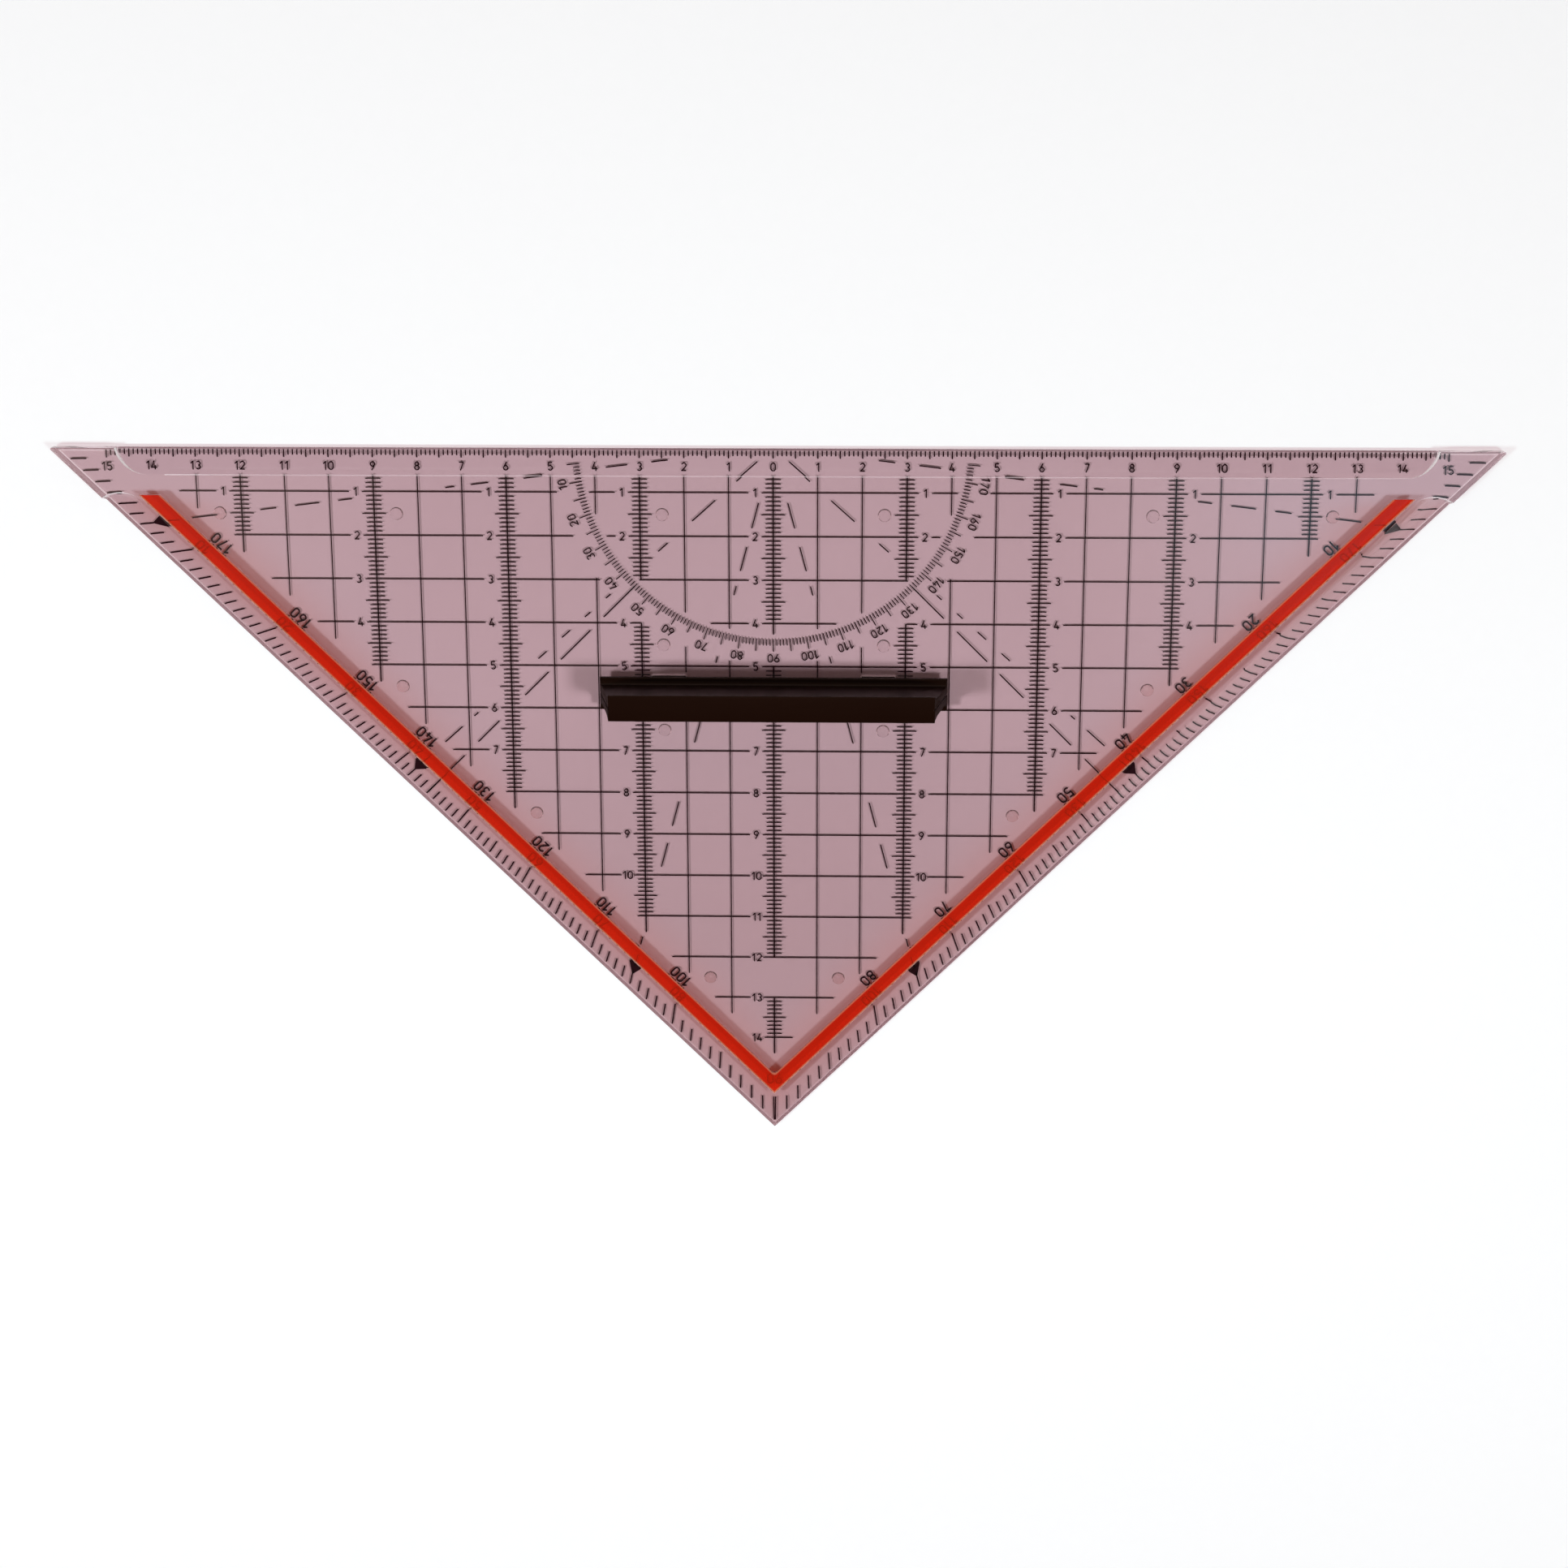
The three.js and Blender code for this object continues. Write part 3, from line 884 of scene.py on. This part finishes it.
# The handle: one moulding of dark satin plastic, a bar with a flat foot, a waisted neck and a flat head,
# its ends leaning inwards as they rise. The mould's parting line is a fine groove up each end.
handle_low, handle_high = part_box("handle")
handle_y = (handle_low.y + handle_high.y) / 2 / MM
handle_length = (handle_high.x - handle_low.x) / MM
handle_height = handle_high.z / MM - top
head_length = 72.8
foot_width = (handle_high.y - handle_low.y) / MM
foot_height = 1.3
foot_fillet = 0.9
neck_width = 4.1
head_width = 6
head_height = 0.6
cove_height = 4.4
head_step = 0.3
head_lip_round = 0.12
edge_round = 0.3
end_round = 0.15
end_round_share = 0.3
groove_half = 0.15
groove_depth = 0.25


def quarter(centre_y, centre_z, radius, first, last, points=6):
    """Part of a circle in Y and Z, from the first angle to the last in degrees."""
    return arc((centre_y, centre_z), (radius, radius), first, last, points)


def handle_ring():
    """The bar's section in Y and Z, from the groove's right side at the foot up round the right, then
    down the mirrored left: quarter circles at the edges, and an arc that flares the neck to the head."""
    head_low = handle_height - head_height
    neck, head, foot = neck_width / 2, head_width / 2, foot_width / 2
    flare = head - head_step - neck
    cove = (flare**2 + cove_height**2) / (2 * flare)
    cove_turn = math.degrees(math.asin(cove_height / cove))
    right = np.concatenate([
        [(groove_half, 0)],
        quarter(foot - edge_round, edge_round, edge_round, -90, 0),
        quarter(foot - edge_round, foot_height - edge_round, edge_round, 0, 90),
        quarter(neck + foot_fillet, foot_height + foot_fillet, foot_fillet, 270, 180, 9),
        quarter(neck + cove, head_low - cove_height, cove, 180, 180 - cove_turn, 14),
        quarter(head - head_lip_round, head_low + head_lip_round, head_lip_round, -90, 0, 4),
        quarter(head - edge_round, handle_height - edge_round, edge_round, 0, 90),
        [(groove_half, handle_height)],
    ])
    return np.concatenate([right, right[::-1] * [-1, 1]])


def inset(ring, depth):
    """The ring with every corner moved inwards by depth, along the sum of its two sides' normals."""
    ahead = np.roll(ring, -1, axis=0) - ring
    ahead /= np.linalg.norm(ahead, axis=1, keepdims=True)
    normal = np.stack([-ahead[:, 1], ahead[:, 0]], axis=1)
    back = np.roll(normal, 1, axis=0)
    return ring + depth * (normal + back) / (1 + np.sum(normal * back, axis=1, keepdims=True))


ring = handle_ring()
ring_size = len(ring)
half = ring_size // 2
from_end = np.array([0, end_round * end_round_share, end_round, groove_depth])
rounding = np.maximum(end_round - from_end, 0)
insets = end_round - np.sqrt(end_round**2 - rounding**2)
slant = (handle_length - head_length) / 2 / handle_height
stations = []
for hand in (-1, 1):
    order = slice(None) if hand < 0 else slice(None, None, -1)
    for distance, depth in list(zip(from_end, insets))[order]:
        shape = inset(ring, depth)
        x = hand * (handle_length / 2 - slant * shape[:, 1] - distance)
        stations.append(np.column_stack([x, shape[:, 0] + handle_y, shape[:, 1] + top]))
stations = np.array(stations)
count = len(stations)
body_faces = grid_faces(count, ring_size, around=True).reshape(count - 1, ring_size, 4)
keep = np.ones((count - 1, ring_size), dtype=bool)
grooved = [0, 1, 2, count - 4, count - 3, count - 2]
keep[np.ix_(grooved, [half - 1, ring_size - 1])] = False
handle_faces = [*body_faces[keep]]
for hand, bands in ((-1, grooved[:3]), (1, grooved[3:])):
    end_row = 0 if hand < 0 else count - 1
    floor_row = 3 if hand < 0 else count - 4
    right_cap = end_row * ring_size + np.arange(half)
    left_cap = right_cap + half
    groove_floor = floor_row * ring_size + np.array([ring_size - 1, 0, half - 1, half])
    turned = slice(None, None, hand)
    handle_faces += [right_cap[turned], left_cap[turned], groove_floor[turned]]
    for near in np.array(bands) * ring_size:
        far = near + ring_size
        handle_faces.append([near, far, far + half - 1, near + half - 1])
        handle_faces.append([near + ring_size - 1, near + half, far + half, far + ring_size - 1])

handle_finish, start = new_finish("dark_moulding")
place = start.add("TexCoord", output="Object")
cloud = place.noise(55.0, 4.0)
grain = place.noise(2600.0, 3.0)
streaked = start.add("VectorMath", {"operation": "MULTIPLY"}, {0: place, 1: (60, 900, 900)})
streaks = streaked.noise(1.0, 2.0)
mottle = cloud * 0.6 + streaks * 0.4
handle_colour = mottle.blend((0.0068, 0.0019, 0.0009, 1), (0.0098, 0.0032, 0.0017, 1))
relief = start.add(
    "Bump",
    None,
    {"Height": grain * 0.7 + streaks * 0.3, "Distance": 0.00002, "Strength": 0.35},
)
facing_out = start.add("TexCoord", output="Normal")
matt_end = facing_out.along("X").size().between(0.6, 0.9)
handle_body = start.add(
    "BsdfPrincipled",
    None,
    {
        "Base Color": handle_colour,
        "Roughness": 0.28 + cloud * 0.1 + matt_end * 0.3,
        "Specular IOR Level": 0.14,
        "Specular Tint": (1.0, 0.75, 0.6, 1),
        "Normal": relief,
    },
)
start.add("OutputMaterial", None, {"Surface": handle_body})

handle_bar = add_mesh("handle_bar", stations.reshape(-1, 3), handle_faces, handle_finish, crease=28)
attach(handle_bar, "handle")
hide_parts("handle")

# The prongs: four flat tongues of the same moulding under the foot, two to a slot, each with a bead near
# its chamfered tip that snaps past the slot's end wall.
slot_spacing = 47.7
prong_half = 3.8
prong_outer = 3.5
prong_thickness = 1.5
prong_tip_gap = 0.3
prong_tip = prong_tip_gap - (top - underside)
prong_chamfer = 0.4
bead_height = 0.25
bead_length = 0.9
bead_low = prong_tip + prong_chamfer
prong_section = np.array([
    (prong_outer - prong_thickness, 0),
    (prong_outer - prong_thickness, prong_tip),
    (prong_outer - prong_chamfer, prong_tip),
    (prong_outer, bead_low),
    (prong_outer + bead_height, bead_low + bead_length / 2),
    (prong_outer, bead_low + bead_length),
    (prong_outer, 0),
])
prong_corners, prong_faces = [], []
for x in (-slot_spacing / 2, slot_spacing / 2):
    for facing in (-1, 1):
        section = (prong_section * [facing, 1])[::facing]
        points = len(section)
        ends = [
            np.column_stack([np.full(points, x + reach), section[:, 0] + handle_y, section[:, 1] + top])
            for reach in (-prong_half, prong_half)
        ]
        first = sum(len(corners) for corners in prong_corners)
        prong_faces += [*(grid_faces(2, points, around=True) + first)]
        prong_faces += [np.arange(points)[::-1] + first, np.arange(points) + points + first]
        prong_corners += ends
prongs = add_mesh("handle_prongs", np.concatenate(prong_corners), prong_faces, handle_finish)
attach(prongs, "handle")
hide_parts("handle")

# The studio: a plain white table top, a soft lamp on each side, a long one above and a pale surround. The
# camera looks down from the ruling edge's side, nearly square to the plate.
floor_half = 3.0
floor_mesh = bpy.data.meshes.new("table_top")
floor_corners = np.array([(-1, -1, 0), (1, -1, 0), (1, 1, 0), (-1, 1, 0)]) * floor_half
floor_mesh.from_pydata(floor_corners, [], [(0, 1, 2, 3)])
floor = bpy.data.objects.new("table_top", floor_mesh)
bpy.context.scene.collection.objects.link(floor)
floor_finish, start = new_finish("white_table")
place = start.add("TexCoord", output="Object")
fibre = place.noise(300.0, 2.0)
floor_colour = fibre.blend((0.955, 0.955, 0.955, 1), (0.975, 0.975, 0.975, 1))
floor_body = start.add("BsdfDiffuse", None, {"Color": floor_colour})
from_middle = start.add("VectorMath", {"operation": "LENGTH"}, {0: place}, "Value")
to_eye = start.add("LightPath", output="Is Camera Ray")
for ray_kind in ("Is Glossy Ray", "Is Transmission Ray"):
    to_eye = start.maths("MAXIMUM", to_eye, start.add("LightPath", output=ray_kind))
white = start.add("Emission", None, {"Color": (1, 1, 1, 1), "Strength": 1.0})
far_off = from_middle.between(0.3, 0.6) * to_eye
fading = start.add("MixShader", None, {0: far_off, 1: floor_body, 2: white})
open_below = start.add("BsdfTransparent", None, {"Color": (1, 1, 1, 1)})
from_below = start.add("NewGeometry", output="Backfacing")
floor_shown = start.add("MixShader", None, {0: from_below, 1: fading, 2: open_below})
start.add("OutputMaterial", None, {"Surface": floor_shown})
floor_mesh.materials.append(floor_finish)

lamp_size = 0.14
lamp_y = -0.11
lamp_height = 0.9
lamp_colour = (0.945, 1.0, 1.025)
for name, x, energy in (("lamp_left", -0.58, 6.0), ("lamp_right", 0.44, 4.95)):
    light = bpy.data.lights.new(name, "AREA")
    light.shape = "SQUARE"
    light.size = lamp_size
    light.energy = energy
    light.color = lamp_colour
    lamp = bpy.data.objects.new(name, light)
    lamp.location = (x, lamp_y, lamp_height)
    lamp.visible_glossy = False
    lamp.visible_transmission = False
    lamp.rotation_mode = "QUATERNION"
    lamp.rotation_quaternion = (-lamp.location).to_track_quat("-Z", "Y")
    bpy.context.scene.collection.objects.link(lamp)

strip_light = bpy.data.lights.new("strip_above", "AREA")
strip_light.shape = "RECTANGLE"
strip_light.size = 1.3
strip_light.size_y = 0.18
strip_light.energy = 0.7
strip_above = bpy.data.objects.new("strip_above", strip_light)
strip_above.location = (0, 0.28, 1.2)
bpy.context.scene.collection.objects.link(strip_above)

# The surround is plain white to the eye and through the sheet. Steep reflections show a dim room instead,
# with a paler far wall and two soft windows overhead.
world = bpy.data.worlds.new("surround")
world.use_nodes = True
world.node_tree.nodes.clear()
start = Shade(world.node_tree)
seen = start.add("LightPath", output="Is Camera Ray")
seen_through = start.add("LightPath", output="Is Transmission Ray")
mirrored = start.add("LightPath", output="Is Glossy Ray")
direction = start.add("TexCoord", output="Generated")
forwards, upwards = direction.along("Y"), direction.along("Z")
backdrop = start.maths("MAXIMUM", seen, seen_through)
backdrop = start.maths("MAXIMUM", backdrop, mirrored * (1 - upwards.between(0.25, 0.55)))
overhead = forwards.between(-0.4, -0.2) * (1 - forwards.between(0.08, 0.3))
overhead = overhead * upwards.between(0.3, 0.8)


def soft_window(middle):
    """A bright patch overhead: 1 within 0.03 of its middle's direction, fading to 0 at 0.11."""
    away = start.add("VectorMath", {"operation": "DISTANCE"}, {0: direction, 1: middle}, "Value")
    return 1 - away.between(0.03, 0.11)


right_window = soft_window((0.165, -0.16, 0.973))
left_window = soft_window((-0.25, -0.13, 0.96))
far_wall = forwards.between(0.4, 0.8)
ceiling = 0.08 + overhead * 0.14 + far_wall * 0.4 + right_window * 1.1 + left_window * 0.8
room = (1 - backdrop).blend((1, 1, 1, 1), (1.0, 0.75, 0.67, 1))
pale = (right_window * (1 - backdrop)).blend(room, (0.6, 0.86, 1.0, 1))
strength = ceiling * (1 - backdrop) + backdrop
surround = start.add("Background", None, {"Color": pale, "Strength": strength})
start.add("OutputWorld", None, {"Surface": surround})
bpy.context.scene.world = world

# The camera's axes stand in columns: its right, its up and its back.
camera_data = bpy.data.cameras.new("camera")
camera_data.sensor_width = 36
camera_data.lens = 65.11
camera = bpy.data.objects.new("camera", camera_data)
camera_axes = Matrix([
    (0.99955, -0.00661, 0.02924),
    (-0.00155, 0.96271, 0.27052),
    (-0.02994, -0.27044, 0.96227),
])
camera.matrix_world = Matrix.Translation((0.02144, 0.18031, 0.6307)) @ camera_axes.to_4x4()
bpy.context.scene.collection.objects.link(camera)
bpy.context.scene.camera = camera
bpy.context.scene.view_settings.view_transform = "Standard"

bpy.context.view_layer.update()
